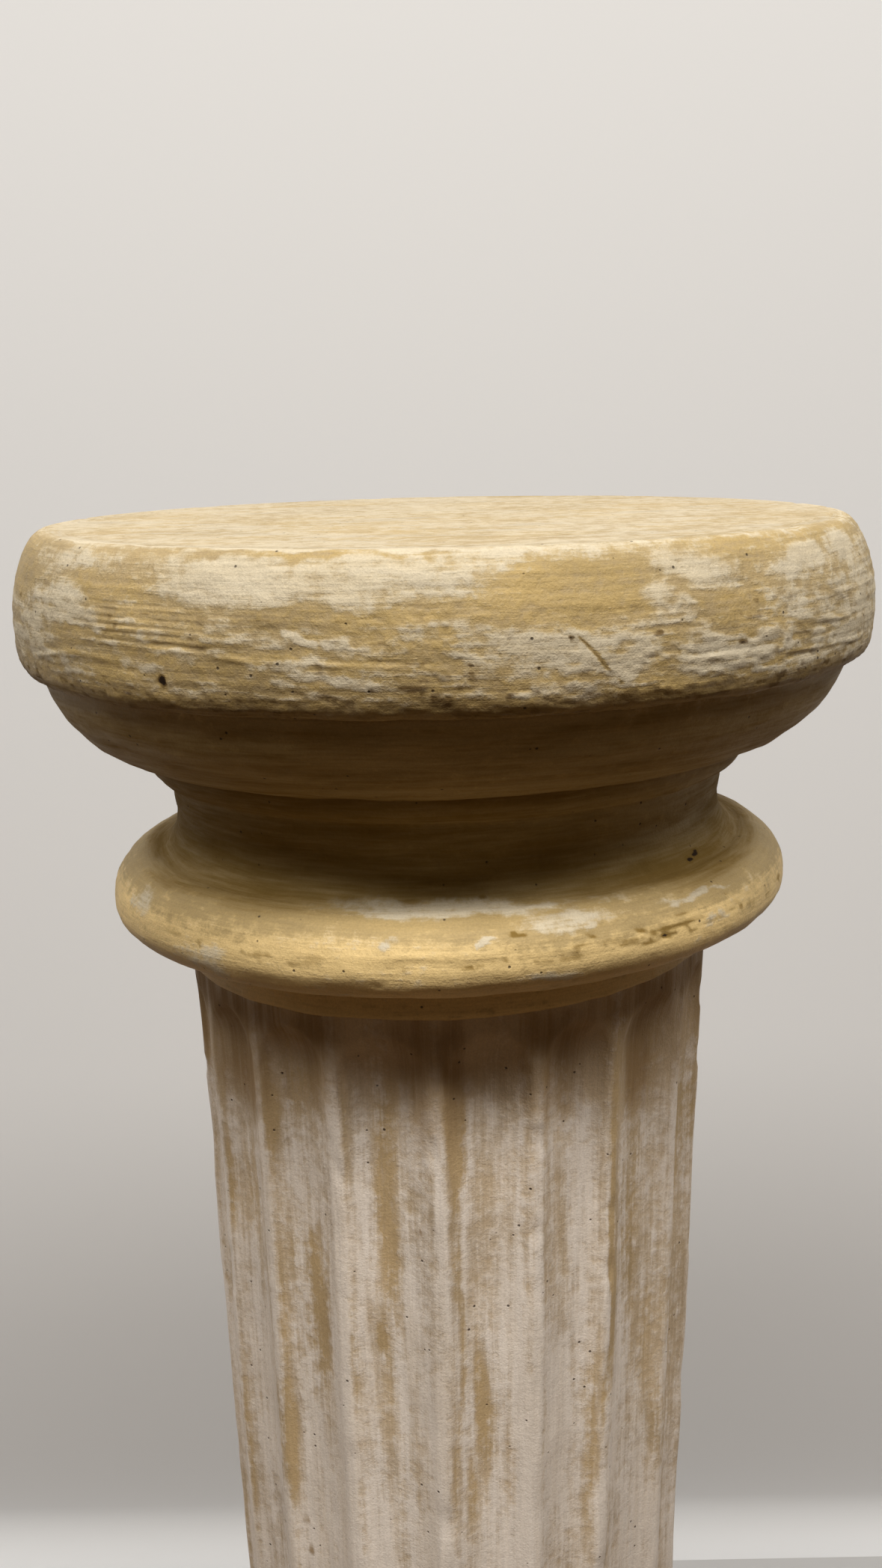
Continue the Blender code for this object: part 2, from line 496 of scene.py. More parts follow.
class Effects:
    """Node groups for the effects that every painted finish here uses."""

    def __init__(self) -> None:
        """Build each group once."""
        self.strokes = self.build_strokes()
        self.ragged = self.build_ragged()
        self.pores = self.build_pores()

    def build_strokes(self) -> bpy.types.NodeTree:
        """Brush marks: broad ones, single bristle lines, a cloudy change of tone and a crusty mottle."""
        vectors = ("Grain", "Place", "Broad", "Bristle")
        graph, given, out = new_group("brush_strokes", vectors, (), ("Broad", "Bristle", "Cloud", "Mottle"))
        wobble = graph.add("TexNoise", {"Vector": given["Grain"], "Scale": 45.0, "Detail": 1.0})
        push = graph.vector("MULTIPLY", wobble.outputs["Color"], (0.0012, 0.0012, 0.0012))
        place = graph.vector("ADD", given["Grain"], push)
        broad = graph.vector("MULTIPLY", place, given["Broad"])
        fine = graph.vector("MULTIPLY", place, given["Bristle"])
        graph.link(graph.noise(broad, 1.0, 4.0, 0.6), out["Broad"])
        graph.link(graph.noise(fine, 1.0, 3.0, 0.6), out["Bristle"])
        graph.link(graph.noise(given["Grain"], 26.0, 3.0), out["Cloud"])
        graph.link(graph.noise(given["Place"], 210.0, 7.0, 0.68), out["Mottle"])
        return graph.tree

    def build_ragged(self) -> bpy.types.NodeTree:
        """Edge of a dry-brushed layer: a soft coverage cut up by the brush marks."""
        shares = {"Broad": 1.2, "Bristle": 0.9, "Mottle": 2.2}
        graph, given, out = new_group("ragged_layer", (), ("Coverage", *shares, "Soft"), ("Mask",))
        broad, fine, speck = (
            graph.math("MULTIPLY", graph.math("SUBTRACT", given[key], 0.5), share)
            for key, share in shares.items()
        )
        coarse = graph.math("ADD", given["Coverage"], broad)
        total = graph.math("ADD", coarse, graph.math("ADD", fine, speck))
        low = graph.math("SUBTRACT", 0.5, given["Soft"])
        high = graph.math("ADD", 0.5, given["Soft"])
        graph.link(graph.span(total, low, high), out["Mask"])
        return graph.tree

    def build_pores(self) -> bpy.types.NodeTree:
        """Small air holes and grit of a plaster casting."""
        graph, given, out = new_group("casting_pores", ("Place",), ("Size", "Amount"), ("Hole", "Grit"))
        inputs = {"Vector": given["Place"], "Scale": given["Size"], "Randomness": 1.0}
        cells = graph.add("TexVoronoi", inputs)
        chance = graph.add("SeparateColor", {0: cells.outputs["Color"]}).outputs[0]
        pick = graph.math("GREATER_THAN", given["Amount"], chance)
        near = graph.math("SUBTRACT", 1.0, graph.span(cells.outputs["Distance"], 0.12, 0.3))
        graph.link(graph.math("MULTIPLY", near, pick), out["Hole"])
        graph.link(graph.noise(given["Place"], 1500.0, 3.0, 0.6), out["Grit"])
        return graph.tree


@dataclass(frozen=True)
class PaintedCasting:
    """Old layers of paint on cast plaster: a ground, an ochre coat, a chalky off-white, and a brown coat
    that is dirt and stains in places and painted shade in others.

    Args:
        name: Name of the material.
        stroke: Which way the brush went.
        ground: Colour of the lowest coat.
        ochre: Colour of the ochre coat.
        chalk: Colour of the off-white coat.
        dirt_and_shade: Colour of the brown coat: dirt and stains, and painted shade under the mouldings and
            in the flute walls.
        pit: Colour inside small holes.
        chalk_soft: Softness of the off-white's edges.
        ochre_soft: Softness of the ochre's edges.
        relief: Height of the brush marks in metres.
        crust: Height of the crusty mottle as a share of the brush marks.
        rough: Roughness of the paint below the off-white.
    """

    name: str
    stroke: Stroke
    ground: Colour = (0.43, 0.325, 0.17)
    ochre: Colour = (0.47, 0.34, 0.138)
    chalk: Colour = (0.645, 0.57, 0.425)
    dirt_and_shade: Colour = (0.13, 0.078, 0.028)
    pit: Colour = (0.035, 0.022, 0.014)
    chalk_soft: float = 0.40
    ochre_soft: float = 0.40
    relief: float = 0.0004
    crust: float = 2.0
    rough: float = 0.55

    def scales(self) -> tuple[Triple, Triple]:
        """Waves a metre of the broad marks and of the bristle lines, in each direction."""
        if self.stroke is Stroke.ROUND:
            return (22.0, 22.0, 190.0), (60.0, 60.0, 900.0)
        return (190.0, 190.0, 14.0), (700.0, 700.0, 28.0)

    def build(self, effects: Effects) -> bpy.types.Material:
        """Make the material out of the effects' node groups."""
        material = bpy.data.materials.new(self.name)
        material.use_nodes = True
        graph = Graph(material.node_tree)
        ends = graph.tree.nodes["Principled BSDF"].inputs
        kept = [graph.add("Attribute", attribute_name=key) for key in ("grain", "layers")]
        grain, layers = (node.outputs["Vector"] for node in kept)
        place = graph.add("TexCoord").outputs["Object"]
        covers = graph.add("SeparateXYZ", {0: layers}).outputs[:3]
        scales = dict(zip(("Broad", "Bristle"), self.scales()))
        strokes = graph.add("Group", {"Grain": grain, "Place": place, **scales}, node_tree=effects.strokes)
        broad, fine, cloud, mottle = strokes.outputs[:4]
        pores = graph.add("Group", {"Place": place, "Size": 520.0, "Amount": 0.02}, node_tree=effects.pores)
        hole, grit = pores.outputs[:2]
        marks = {"Broad": broad, "Bristle": fine, "Mottle": mottle}
        edges = ({"Soft": self.chalk_soft}, {"Soft": self.ochre_soft}, {"Soft": 0.5, "Mottle": 0.5})
        chalk, ochre, dirt_and_shade = (
            graph.add("Group", {"Coverage": cover, **marks, **edge}, node_tree=effects.ragged).outputs[0]
            for cover, edge in zip(covers, edges)
        )
        middle = (0.3, 0.7)
        tone = graph.remap(cloud, middle, (0.9, 1.1))
        sand = graph.remap(grit, middle, (0.9, 1.09))
        streak = graph.math("MULTIPLY", graph.remap(fine, middle, (0.93, 1.06)), sand)
        colour = graph.blend(ochre, (*self.ground, 1), (*self.ochre, 1))
        colour = graph.vector("SCALE", colour, graph.math("MULTIPLY", tone, streak))
        pale = graph.vector("SCALE", self.chalk, streak)
        cover = graph.math("MULTIPLY", chalk, graph.remap(broad, (0.3, 0.6), (0.72, 1.0)))
        colour = graph.blend(cover, colour, pale)
        # Mix in the brown coat: dirt and stains, and painted shade where a piece lays it on.
        colour = graph.blend(graph.math("MULTIPLY", dirt_and_shade, 0.85), colour, (*self.dirt_and_shade, 1))
        black = graph.math("MAXIMUM", graph.math("MULTIPLY", hole, 0.8), graph.span(covers[2], 1.2, 1.8))
        graph.link(graph.blend(black, colour, (*self.pit, 1)), ends["Base Color"])
        dull = graph.math("MAXIMUM", chalk, dirt_and_shade)
        graph.link(graph.remap(dull, (0.0, 1.0), (self.rough, 0.85)), ends["Roughness"])
        graph.link(graph.remap(dirt_and_shade, (0.0, 1.0), (0.32, 0.06)), ends["Specular IOR Level"])
        height = graph.total(
            (fine, 0.45), (broad, 0.3), (chalk, 0.2), (mottle, self.crust), (grit, 0.3), (hole, -0.9)
        )
        bump = graph.add("Bump", {"Height": height, "Strength": 0.9, "Distance": self.relief})
        graph.link(bump.outputs[0], ends["Normal"])
        return material


@dataclass
class TurnedPiece:
    """One turned part of the column, with its relief and its layers of paint."""

    name: str
    steps: int
    cuts: int
    finish: PaintedCasting
    gather: float = 0.35
    wander: Triple = (12.0, 12.0, 8.0)
    sizes: Sizes = Sizes()
    hand: Handmade = Handmade()
    chalk: tuple[Dab, ...] = ()
    ochre: tuple[Dab, ...] = ()
    dirt_and_shade: tuple[Dab, ...] = ()
    scores: tuple[Score, ...] = ()
    crusts: tuple[Dab, ...] = ()

    def outline(self) -> Array:
        """Rows of the half outline from axis to axis."""
        raise NotImplementedError

    def relief(self, skin: Skin) -> None:
        """Shape the surface beyond the turned form."""

    def coats(self, skin: Skin) -> tuple[Array, Array, Array]:
        """Even coverage of chalk, ochre and the brown coat of dirt and painted shade, before the dabs."""
        raise NotImplementedError

    def grain(self, skin: Skin) -> Array:
        """Direction of the brush marks: places in metres whose third number runs with the outline."""
        return np.column_stack([skin.places[:, :2], skin.along * 0.001])

    def dabbed(self, skin: Skin, coverage: Array, dabs: tuple[Dab, ...]) -> Array:
        """Add a list of dabs to a coverage."""
        angle = skin.angle + skin.waves(self.wander, 2.0, 31, 3)
        along = skin.along + skin.waves(self.wander, 2.4, 47, 3)
        total = coverage.copy()
        for dab in dabs:
            total += dab.at(angle, along)
        return total

    def painted(self, skin: Skin) -> Array:
        """Coverage of each coat, raising the surface where paint, crumbs and scores lie.

        Args:
            skin: The surface, whose relief is added to.

        Returns:
            A row of chalk, ochre and the brown coat of dirt and painted shade for each vertex.
        """
        chalk, ochre, dirt_and_shade = self.coats(skin)
        none = np.zeros(len(chalk))
        bared = self.dabbed(skin, none, self.ochre)
        chalk = self.dabbed(skin, chalk, self.chalk) - OCHRE_BITE * bared
        ochre = ochre + bared
        dirt_and_shade = self.dabbed(skin, np.minimum(dirt_and_shade, DIRT_AND_SHADE_LIMIT), self.dirt_and_shade)
        crust = np.clip(self.dabbed(skin, none, self.crusts), 0, 1)
        crumbs = skin.waves((3.8, 3.8, 1.5), 0.26, 501) * crust
        skin.shift += COAT_RISE * ease(0.35, 0.65, chalk) + crumbs
        chalk += CRUMB_PAINT * crumbs
        broken = 0.3 + 0.7 * ease(-0.45, 0.2, skin.patches((8, 8, 2.2), 521))
        wave = skin.waves((26, 26, 26), 0.7, 523)
        for score in self.scores:
            share = score.at(skin.angle, skin.along + wave, float(skin.radius.max()) * 1000) * broken
            skin.shift += score.height * share
            dirt_and_shade += score.stain * share
            chalk -= STAIN_BITE * score.stain * share
        return np.stack([chalk, ochre, dirt_and_shade], axis=1)

    def build(self, effects: Effects) -> None:
        mesh = turned(self.name, self.outline(), self.steps, self.cuts)
        skin = Skin(mesh, self.gather)
        layers = self.painted(skin)
        self.relief(skin)
        skin.keep("grain", self.grain(skin))
        skin.keep("layers", layers)
        skin.settle(self.hand)
        mesh.materials.append(self.finish.build(effects))
        piece = placed(self.name, mesh)
        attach(piece, "root")
        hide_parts("column")
        LOG.info("%s: %d triangles", self.name, len(mesh.polygons) * 2)


@dataclass
class Slab(TurnedPiece):
    """The thick round slab with its flat top face."""

    rim: float = 0.1387
    underside: float = 0.1427
    upper: float = 0.0283
    lower: float = 0.0181

    def outline(self) -> Array:
        """Rows from the middle of the top face over the edge and under."""
        top = self.sizes.height
        near_rim = np.linspace(self.rim - 0.0108, self.rim - 0.0009, 9)
        radii = np.concatenate([np.linspace(0, self.rim - 0.012, 13), near_rim])
        face = np.stack([radii, np.full(len(radii), top), (radii - self.rim) * 1000], axis=1)
        edge = Outline(self.rim, top).curve(self.sizes.slab, self.upper, True, 1.73)
        edge.curve(self.underside, self.lower, False, 2.7)
        rows = edge.rows(0.72)
        radius, low, end = rows[-1]
        under = [(radius - 0.003, low, end + 3), (0.120, low, end + 20), (0.0, low, end + 140)]
        return np.concatenate([face, rows, np.array(under)])

    def relief(self, skin: Skin) -> None:
        """Brush furrows, rim chips and the crumbly lower lip."""
        side = ease(1, 6, skin.along) * (1 - ease(50, 56, skin.along))
        patchy = 0.4 + 0.6 * ease(-0.3, 0.5, skin.patches((30, 30, 14), 67))
        skin.shift += skin.waves((46, 46, 1.9), 0.16, 61) * side * patchy
        skin.shift += skin.waves((13, 13, 9), 0.28, 71, 3) * side
        lip = ease(38, 46, skin.along) * (1 - ease(51, 54, skin.along))
        skin.shift += (skin.waves((3, 3, 1.6), 0.13, 83) + skin.waves((16, 16, 20), 0.3, 87)) * lip
        chip = hump(skin.along, 1.0, 2.2)
        skin.shift -= ease(0.25, 0.8, skin.patches((7, 7, 9), 97)) * 0.55 * chip

    def coats(self, skin: Skin) -> tuple[Array, Array, Array]:
        """Off-white dragged over ochre on the edge, cream on the top face, a painted highlight along the
        rim, and a darker brown along the lower lip.
        """
        drift = skin.patches((34, 34, 16), 101)
        top = 1 - ease(-3, 1.5, skin.along)
        wisps = skin.patches((9, 9, 1.4), 107) + 0.6 * skin.patches((3, 3, 1), 109)
        chalk = 0.18 + 0.34 * drift + (0.08 + 0.45 * wisps) * ease(16, 24, skin.along)
        chalk = chalk * (1 - top) + (0.60 + 0.20 * drift) * top
        # Painted highlight: a pale line along the rim of the top face.
        chalk += 0.25 * hump(skin.along, 0.6, 1.6)
        # Less off-white and a darker brown along the lower lip.
        chalk -= 0.55 * ease(42, 47, skin.along)
        ochre = 0.62 + 0.25 * skin.patches((50, 50, 20), 103)
        specks = ease(0.3, 0.75, skin.waves((3.4, 3.4, 2.0), 1.0, 111)) * ease(14, 22, skin.along)
        dirt_and_shade = -0.35 + 0.85 * ease(40, 48, skin.along) + 0.5 * top + 0.7 * specks
        return chalk, ochre, dirt_and_shade

    def grain(self, skin: Skin) -> Array:
        """Marks run round the edge and straight across the top face."""
        side = super().grain(skin)
        across = np.stack([skin.places[:, 0], np.zeros(len(side)), skin.places[:, 1] * 0.5], axis=1)
        share = ease(-9, 0, skin.along)[:, None]
        return across * (1 - share) + side * share


@dataclass
class Collar(TurnedPiece):
    """The mouldings under the slab: ovolo, bead, neck, torus and band."""

    start: float = 54.9

    def outline(self) -> Array:
        """Rows from inside the slab down to inside the shaft."""
        size = self.sizes
        top = size.height - 0.0464
        edge = Outline(size.ovolo, top).curve(size.ovolo_under, 0.0302, False, 1.65)
        edge.straight(size.bead).curve(size.bead_under, 0.0100, False)
        edge.straight(size.neck, 0.0114).curve(size.neck + 0.0081, 0.0145, False)
        edge.curve(size.torus, 0.0157, True).curve(size.torus - 0.0188, 0.0123, False)
        edge.straight(size.band).straight(size.band, 0.0110).straight(size.shaft_head, 0.0015)
        rows = edge.rows(1.05, self.start)
        first, end, lid = rows[0], rows[-1], top + 0.004
        over = [(0.0, lid, first[2] - 140), (0.120, lid, first[2] - 24), (0.1385, lid, first[2] - 5)]
        under = [(end[0] - 0.002, end[1] - 0.001, end[2] + 3), (0.0, end[1] - 0.001, end[2] + 90)]
        return np.concatenate([np.array(over), rows, np.array(under)])

    def relief(self, skin: Skin) -> None:
        """Fine turning lines, soft dents and a chipped crest on the torus."""
        shown = ease(50, 54, skin.along)
        skin.shift += skin.waves((60, 60, 2.6), 0.12, 161) * shown
        skin.shift += skin.waves((15, 15, 9), 0.26, 171, 3) * shown
        crest = hump(skin.along, 168, 3.0) * ease(-0.2, 0.5, skin.patches((30, 30, 30), 181))
        skin.shift += np.minimum(skin.waves((4.5, 4.5, 2.6), 0.5, 183), 0.1) * crest

    def coats(self, skin: Skin) -> tuple[Array, Array, Array]:
        """Ochre, lighter from the torus crest down partly as painted light, brown painted shade in the neck
        under the slab and in two creases, dirt in the crest's cracks, and little off-white.
        """
        drift = skin.patches((30, 30, 12), 201)
        chalk = -0.12 + 0.26 * drift
        # Brighter ochre from the torus crest down: ochre paint, and partly painted light on the lit lower
        # torus and band.
        crest_ochre_and_light = ease(160, 168, skin.along + 3 * drift)
        ochre = 0.05 + 0.9 * crest_ochre_and_light + 0.2 * skin.patches((50, 50, 20), 203)
        # Painted shade of the slab over the ovolo, bead, neck and upper torus, a little lighter on the
        # ovolo.
        neck = ease(50, 60, skin.along) * (1 - ease(144, 164, skin.along + 3 * drift))
        # Painted shade in the crease under the ovolo and the crease under the torus.
        fold = hump(skin.along, 101, 5) + hump(skin.along, 190, 7)
        crest = hump(skin.along, 169.0, 3.2)
        cracks = crest * ease(0.2, 0.7, skin.waves((7, 7, 2.4), 1.0, 207, 4))
        neck *= 1 - 0.25 * (1 - ease(92, 104, skin.along))
        # Brown coat: painted shade in the neck and creases, dirt in the crest's cracks.
        dirt_and_shade = -0.3 + neck + 0.2 * fold + 0.9 * cracks
        return chalk - 0.4 * neck, ochre, dirt_and_shade


@dataclass
class Shaft(TurnedPiece):
    """The tapering shaft with its eighteen hollow flutes."""

    fillets: tuple[float, ...] = (-65.0, -45.3, -25.3, -3.3, 17.4, 35.2, 58.0)
    flutes: int = 18
    hollow_depth: float = 0.0055
    fillet_width: float = 0.0042
    margin: float = 0.006
    bands: tuple[Triple, ...] = (
        (149, 195, 1.3), (195, 390, 3.2), (390, 638, 5.0), (638, 665.5, 1.5)
    )

    def outline(self) -> Array:
        """Rows from inside the band down to inside the foot, closest at the flute ends."""
        size = self.sizes
        depths = np.concatenate([np.arange(*band) for band in self.bands])
        height = (size.height * 1000 - depths) * 0.001
        share = (height - size.foot_end) / (size.head_end - size.foot_end)
        radius = size.shaft_foot + (size.shaft_head - size.shaft_foot) * share
        rows = np.stack([radius, height, depths], axis=1)
        to_axis = np.array([0, 1, 1])
        return np.concatenate([rows[:1] * to_axis, rows, rows[-1:] * to_axis])

    def flute_share(self, skin: Skin) -> Array:
        """Place across its flute of each vertex, from -0.5 at the left fillet to 0.5 at the right one."""
        known = np.array(self.fillets)
        rest = np.linspace(known[-1], known[0] + 360, self.flutes - len(known) + 2)[1:]
        edges = np.concatenate([known, rest])
        turn = (skin.angle - edges[0]) % 360 + edges[0]
        index = np.clip(np.searchsorted(edges, turn, "right") - 1, 0, self.flutes - 1)
        low, high = edges[index], edges[index + 1]
        return (turn - low) / (high - low) - 0.5

    def hollows(self, skin: Skin) -> Array:
        """Depth of the flutes in millimetres at each vertex."""
        size = self.sizes
        across = np.radians(self.flute_share(skin) * 360 / self.flutes)
        half = math.pi / self.flutes - self.fillet_width / 2 / size.shaft_head
        floor = 1 - self.hollow_depth / size.shaft_head
        chord = math.cos(half)
        ball = (1 + floor * floor - 2 * floor * chord) / (2 * (chord - floor))
        axis = floor + ball
        reach = math.sqrt(ball * ball - (axis - 1) ** 2)
        upper = size.head_end - self.margin - reach * size.shaft_head
        lower = size.foot_end + self.margin + reach * size.shaft_foot
        height = skin.places[:, 2]
        past = np.maximum(height - upper, 0) + np.maximum(lower - height, 0)
        left = (ball * skin.radius) ** 2 - past**2 - (axis * skin.radius * np.sin(across)) ** 2
        bite = skin.radius - axis * skin.radius * np.cos(across) + np.sign(left) * np.sqrt(np.abs(left))
        soft = 0.0006
        return (bite + np.sqrt(bite * bite + soft * soft)) / 2 * 1000

    def relief(self, skin: Skin) -> None:
        """Cut the flutes, then long brush marks, dents and nicked fillets."""
        depth = self.hollows(skin)
        skin.shift -= depth
        edge = 1 - ease(0.2, 1.6, depth)
        skin.shift += Unevenness((3.2, 3.2, 60.0), 0.15, 301).at(skin.millimetres)
        skin.shift += Unevenness((14.0, 14.0, 24.0), 0.3, 311).at(skin.millimetres)
        nick = cell_noise(skin.millimetres / np.array([9, 9, 11]), 321)
        skin.shift -= ease(0.35, 0.8, nick) * 0.6 * edge

    def coats(self, skin: Skin) -> tuple[Array, Array, Array]:
        """Pale beige dragged down the shaft over ochre, painted shade with ochre in the left wall of each
        flute, and a brown painted shadow of the torus over the top.
        """
        tall = skin.millimetres / np.array([9.0, 9.0, 75.0])
        chalk = 0.76 + 0.32 * cell_noise(tall, 331) + 0.2 * cell_noise(tall * 2.1, 332)
        ochre = 0.35 + 0.3 * cell_noise(skin.millimetres / np.array([9.0, 9.0, 70.0]), 341)
        share = self.flute_share(skin)
        # Painted shade with some ochre in the left wall of each flute, beside each fillet.
        flute_wall_shade_and_ochre = hump(share, -0.40, 0.045) * (0.55 + 0.45 * cell_noise(skin.millimetres / 40, 351))
        flute_wall_shade_and_ochre *= ease(162, 178, skin.depth)
        # The sides take the torus's painted shadow further down.
        side = ease(18, 48, np.abs(turn_between(skin.angle, 0)))
        low = skin.depth - 16 * side
        # Less off-white in the painted shade of the flute walls and in the painted shadow under the torus,
        # a little more lower down.
        chalk_cut_in_shade = 0.45 * flute_wall_shade_and_ochre + 0.7 * (1 - ease(160, 200, low)) - 0.18 * ease(225, 320, skin.depth)
        chalk += 0.35 * hump(np.abs(share), 0.5, 0.06) - chalk_cut_in_shade - 0.06
        ochre += 0.6 * flute_wall_shade_and_ochre
        # Brown painted shadow of the torus over the top of the shaft, stronger at the sides, and a darker
        # brown just above the foot.
        torus_shadow_and_foot_wash = (0.2 + 0.45 * side) * (1 - ease(166, 204, low)) + 0.2 * ease(640, 661, skin.depth)
        return chalk, ochre, -0.35 + 0.3 * flute_wall_shade_and_ochre + torus_shadow_and_foot_wash

    def grain(self, skin: Skin) -> Array:
        """Marks run down the shaft."""
        return skin.places.copy()


@dataclass
class Foot(TurnedPiece):
    """The plainer foot: band, torus, cavetto and thick round slab."""

    def outline(self) -> Array:
        """Rows from inside the shaft down to the floor."""
        size = self.sizes
        band = size.shaft_foot + 0.0035
        torus = band + 0.0230
        cavetto = torus - 0.0120
        slab = cavetto + 0.0140 + 0.0090 + 0.0245
        edge = Outline(size.shaft_foot, size.foot_end).straight(band, 0.0020).straight(band, 0.0110)
        edge.curve(torus, 0.0120, True).curve(cavetto, 0.0120, False)
        edge.curve(cavetto + 0.0140, 0.0160, False).straight(slab - 0.0090)
        edge.curve(slab, 0.0230, True).curve(slab - 0.0060, 0.0230, False)
        rows = edge.rows(2.0, 661.0)
        first, end = rows[0], rows[-1]
        over = [(0.0, first[1] + 0.001, first[2] - 80), (first[0] - 0.002, first[1] + 0.001, first[2] - 3)]
        under = [(end[0] - 0.004, end[1], end[2] + 4), (0.0, end[1], end[2] + 120)]
        return np.concatenate([np.array(over), rows, np.array(under)])

    def relief(self, skin: Skin) -> None:
        """Soft dents and turning lines, held back at the floor."""
        held = ease(0.0, 0.006, skin.places[:, 2])
        skin.shift += skin.waves((60, 60, 5), 0.12, 401) * held
        skin.shift += skin.waves((17, 17, 12), 0.3, 411, 3) * held

    def coats(self, skin: Skin) -> tuple[Array, Array, Array]:
        """Ochre with dry off-white on the raised mouldings and dirt near the floor."""
        chalk = 0.2 + 0.36 * skin.patches((30, 30, 14), 421)
        ochre = 0.65 + 0.25 * skin.patches((50, 50, 20), 423)
        low = 1 - ease(0.002, 0.022, skin.places[:, 2])
        return chalk - 0.4 * low, ochre, -0.35 + 0.5 * low


@dataclass
class Stage:
    """Floor, backdrop, lights and camera of a plain pale studio."""

    wall_gap: float = 0.44
    wall_colour: Colour = (0.79, 0.81, 0.84)
    floor_colour: Colour = (0.56, 0.565, 0.575)
    floor_bounce: Colour = (0.09, 0.055, 0.03)
    half_width: float = 4.0
    wall_height: float = 3.2
    key_watts: float = 178.0
    key_colour: Colour = (1.0, 0.95, 0.88)
    key_size: tuple[float, float] = (4.6, 0.58)
    key_gap: float = 3.2
    key_rise: float = 60.0
    key_turn: float = 1.5
    fill: float = 0.055
    fill_colour: Colour = (1.0, 0.83, 0.60)
    sky_colour: Colour = (0.70, 0.69, 0.68)
    target: Triple = (0.0, 0.0, 0.68)
    eye: Triple = (-0.0021, -0.5783, 0.7954)
    lens: float = 36.93
    pitch: float = 12.94
    roll: float = 1.10

    def backdrop(self) -> None:
        """Floor and wall in one sweep, see-through from behind the wall."""
        shape = bmesh.new()
        path = ((-self.half_width, 0.0), (self.wall_gap, 0.0), (self.wall_gap, self.wall_height))
        corners = [shape.verts.new((-self.half_width, y, z)) for y, z in path]
        edges = [shape.edges.new(pair) for pair in zip(corners, corners[1:])]
        made = bmesh.ops.extrude_edge_only(shape, edges=edges)["geom"]
        moved = [item for item in made if isinstance(item, bmesh.types.BMVert)]
        bmesh.ops.translate(shape, verts=moved, vec=(2 * self.half_width, 0.0, 0.0))
        fold = []
        for edge in shape.edges:
            if all(abs(end.co.y - self.wall_gap) + abs(end.co.z) < 1e-6 for end in edge.verts):
                fold.append(edge)
        round_off = {"offset": 0.03, "segments": 10, "profile": 0.5, "material": -1}
        bmesh.ops.bevel(shape, geom=fold, affect="EDGES", **round_off)
        for face in shape.faces:
            face.smooth = True
            face.normal_update()
            centre = face.calc_center_median()
            if face.normal.dot(Vector((0.0, -0.5, 1.0)) - centre) < 0:
                face.normal_flip()
        mesh = bpy.data.meshes.new("backdrop")
        shape.to_mesh(mesh)
        shape.free()
        for paint in (self.wall_paint(), self.floor_paint()):
            mesh.materials.append(paint)
        for face in mesh.polygons:
            face.material_index = int(max(mesh.vertices[index].co.z for index in face.vertices) < 1e-6)
        backdrop = placed("backdrop", mesh)

    def plain_paint(self, name: str, colour: Colour) -> tuple[bpy.types.Material, Graph, bpy.types.Node]:
        """Start a plain matt paint, and give its material, its graph and its shader."""
        material = bpy.data.materials.new(name)
        material.use_nodes = True
        shader = material.node_tree.nodes["Principled BSDF"]
        shader.inputs["Base Color"].default_value = (*colour, 1)
        shader.inputs["Roughness"].default_value = 0.9
        shader.inputs["Specular IOR Level"].default_value = 0.1
        return material, Graph(material.node_tree), shader

    def wall_paint(self) -> bpy.types.Material:
        """Plain pale paint that only its front shows."""
        material, graph, shader = self.plain_paint("wall_paint", self.wall_colour)
        clear = graph.add("BsdfTransparent")
        behind = graph.add("NewGeometry").outputs["Backfacing"]
        mixed = graph.add("MixShader", {0: behind, 1: shader.outputs[0], 2: clear.outputs[0]})
        graph.link(mixed.outputs[0], graph.tree.nodes["Material Output"].inputs[0])
        return material

    def floor_paint(self) -> bpy.types.Material:
        """Plain pale paint that throws little light back up, as a dark room does."""
        material, graph, shader = self.plain_paint("floor_paint", self.floor_colour)
        seen = graph.add("LightPath").outputs["Is Camera Ray"]
        colour = graph.blend(seen, (*self.floor_bounce, 1), (*self.floor_colour, 1))
        graph.link(colour, shader.inputs["Base Color"])
        return material

    def lights(self) -> None:
        """One long warm light above and before the column, and a faint even fill."""
        target = Vector(self.target)
        rise, turn = math.radians(self.key_rise), math.radians(self.key_turn)
        aim = Vector((math.sin(turn) * math.cos(rise), -math.cos(turn) * math.cos(rise), math.sin(rise)))
        light = bpy.data.lights.new("key", "AREA")
        light.shape = "RECTANGLE"
        light.size, light.size_y = self.key_size
        light.energy = self.key_watts
        light.color = self.key_colour
        holder = placed("key", light)
        holder.location = target + aim * self.key_gap
        holder.rotation_euler = (target - holder.location).to_track_quat("-Z", "Y").to_euler()
        world = bpy.data.worlds.new("studio")
        world.use_nodes = True
        bpy.context.scene.world = world
        graph = Graph(world.node_tree)
        shown = graph.add("Background", {0: (*self.sky_colour, 1), 1: 1.0})
        fill = graph.add("Background", {0: (*self.fill_colour, 1), 1: self.fill})
        seen = graph.add("LightPath").outputs["Is Camera Ray"]
        mixed = graph.add("MixShader", {0: seen, 1: fill.outputs[0], 2: shown.outputs[0]})
        graph.link(mixed.outputs[0], graph.tree.nodes["World Output"].inputs[0])

    def camera(self) -> None:
        """Camera at the photograph's place, taken with the frame as 1179 by 2096."""
        lens = bpy.data.cameras.new("camera")
        lens.sensor_fit = "AUTO"
        lens.sensor_width = 36.0
        lens.lens = self.lens
        lens.clip_start = 0.05
        lens.clip_end = 30.0
        holder = placed("camera", lens)
        tilt = Matrix.Rotation(math.radians(90 - self.pitch), 4, "X")
        roll = Matrix.Rotation(math.radians(-self.roll), 4, "Z")
        holder.matrix_world = Matrix.Translation(self.eye) @ tilt @ roll
        bpy.context.scene.camera = holder


def dabs(*rows: tuple[float, ...]) -> tuple[Dab, ...]:
    """Make dabs from rows of angle, along, width, height, and where needed strength and slant."""
    return tuple(Dab(*row) for row in rows)


def scores(*rows: tuple[float, ...]) -> tuple[Score, ...]:
    """Make scores from rows of both ends' angle and along, then width, height and stain."""
    return tuple(Score(row[:2], row[2:4], *row[4:]) for row in rows)
